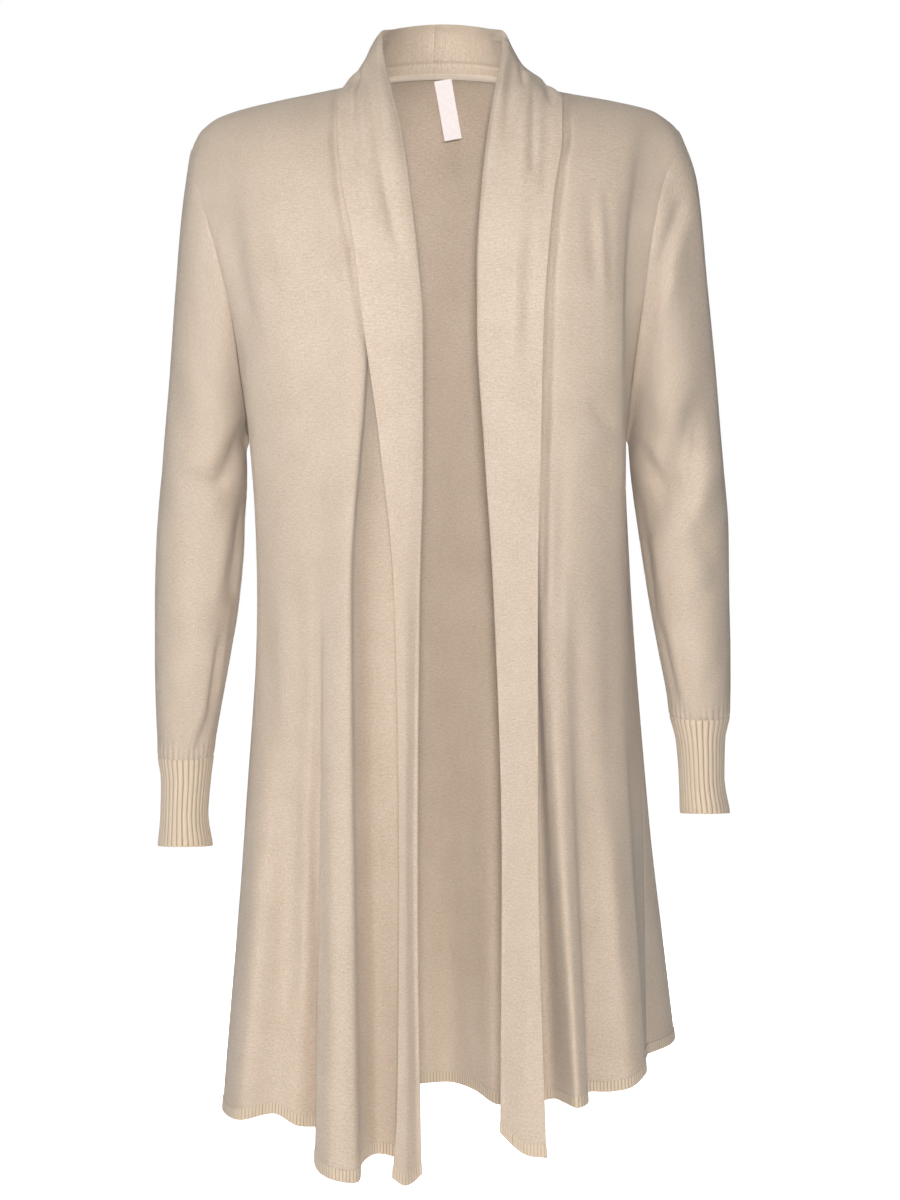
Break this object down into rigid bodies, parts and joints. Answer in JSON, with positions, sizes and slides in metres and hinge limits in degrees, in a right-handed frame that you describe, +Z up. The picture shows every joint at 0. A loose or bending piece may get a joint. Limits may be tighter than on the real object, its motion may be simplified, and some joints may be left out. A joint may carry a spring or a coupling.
{
  "type": "open-front cardigan",
  "caption": "Long open-front knitted cardigan with a turned-back shawl band, long sleeves and ribbed cuffs.",
  "frame": {"origin": "middle of the shoulder line at the neck, inside the collar, where the wearer carries the garment", "axes": "+Z up from hem to shoulders, -Y the way the wearer faces, +X towards the wearer's left sleeve"},
  "size_m": [0.4954, 0.2702, 0.9699],
  "materials": {
    "knit": "fine sand jersey knit with a soft sheen",
    "rib": "ribbed sand knit",
    "label": "plain pale woven tape"
  },
  "bodies": {
    "root": {"back": "knit", "front_right": "knit", "front_left": "knit", "band_right": "knit", "band_left": "knit", "sleeve_right": "knit", "sleeve_left": "knit", "cuff_right": "rib", "cuff_left": "rib", "hem_back": "rib", "hem_front_right": "rib", "hem_front_left": "rib", "hem_band_right": "rib", "hem_band_left": "rib", "label": "label"}
  },
  "joints": []
}
